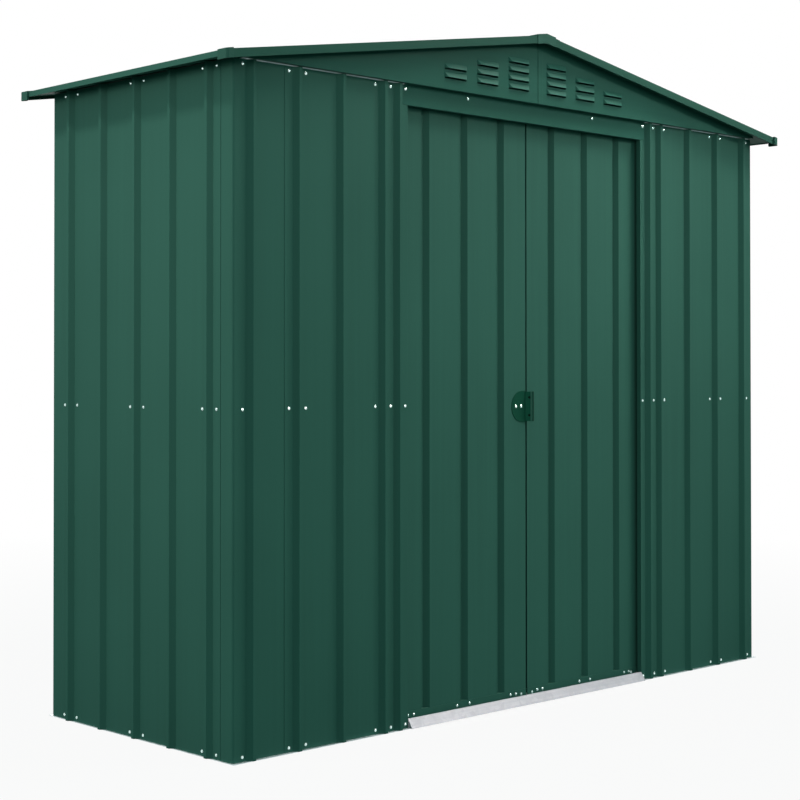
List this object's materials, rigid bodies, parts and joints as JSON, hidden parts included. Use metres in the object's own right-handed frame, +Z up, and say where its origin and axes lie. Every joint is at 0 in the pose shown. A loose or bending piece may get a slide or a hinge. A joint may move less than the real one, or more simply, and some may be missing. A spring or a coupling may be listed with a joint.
{
  "type": "metal storage shed",
  "caption": "Green steel apex storage shed with ribbed lapped cladding, a pair of sliding doors, louvred gables and a galvanised base frame and sill ramp.",
  "frame": {"origin": "on the ground under the middle of the walls", "axes": "+X along the width, to the right seen from the front; +Y from the front wall to the back wall; +Z up"},
  "size_m": [2.401, 0.92, 1.9445],
  "materials": {
    "wall_green": "satin baked green paint on rolled steel sheet",
    "door_green": "satin baked green paint on rolled steel sheet",
    "roof_green": "satin baked green paint on rolled steel sheet",
    "cap_green": "satin green corner and apex covers",
    "handle_green": "satin dark green pull with a beaded fin",
    "rail_zinc": "bare galvanised steel",
    "sill_zinc": "bare galvanised steel",
    "glider_nylon": "moulded black nylon"
  },
  "bodies": {
    "shell": {"base_rail_front": "rail_zinc", "base_rail_back": "rail_zinc", "base_rail_left": "rail_zinc", "base_rail_right": "rail_zinc", "door_sill": "sill_zinc", "lower_door_track": "rail_zinc", "front_left_corner": "wall_green", "front_right_corner": "wall_green", "back_left_corner": "wall_green", "back_right_corner": "wall_green", "front_left_panel": "wall_green", "front_right_panel": "wall_green", "door_jamb_left": "wall_green", "door_jamb_right": "wall_green", "door_header": "wall_green", "left_panel_front": "wall_green", "left_panel_back": "wall_green", "right_panel_front": "wall_green", "right_panel_back": "wall_green", "back_panel_left": "wall_green", "back_panel_middle": "wall_green", "back_panel_right": "wall_green", "mid_rail_left": "rail_zinc", "mid_rail_right": "rail_zinc", "mid_rail_back": "rail_zinc", "mid_rails_front": "rail_zinc", "top_rail_front": "rail_zinc", "top_rail_back": "rail_zinc", "top_rail_left": "rail_zinc", "top_rail_right": "rail_zinc", "upper_door_track": "rail_zinc", "front_gable_left": "wall_green", "front_gable_right": "wall_green", "back_gable_left": "wall_green", "back_gable_right": "wall_green", "ridge_beam": "rail_zinc", "roof_panel_left": "roof_green", "roof_panel_right": "roof_green", "ridge_cap": "roof_green", "eave_trim_left": "roof_green", "eave_trim_right": "roof_green", "verge_trims_front": "roof_green", "verge_trims_back": "roof_green", "roof_corner_caps": "cap_green", "apex_caps": "cap_green"},
    "left_door": {"left_door_panel": "door_green", "left_door_rails": "door_green", "left_door_gliders": "glider_nylon", "left_door_handle": "handle_green"},
    "right_door": {"right_door_panel": "door_green", "right_door_rails": "door_green", "right_door_gliders": "glider_nylon"}
  },
  "joints": [
    {"name": "left_door_slide", "type": "slide", "parent": "shell", "child": "left_door", "axis": [-1, 0, 0], "range_m": [0, 0.445]},
    {"name": "right_door_slide", "type": "slide", "parent": "shell", "child": "right_door", "axis": [1, 0, 0], "range_m": [0, 0.445]}
  ]
}
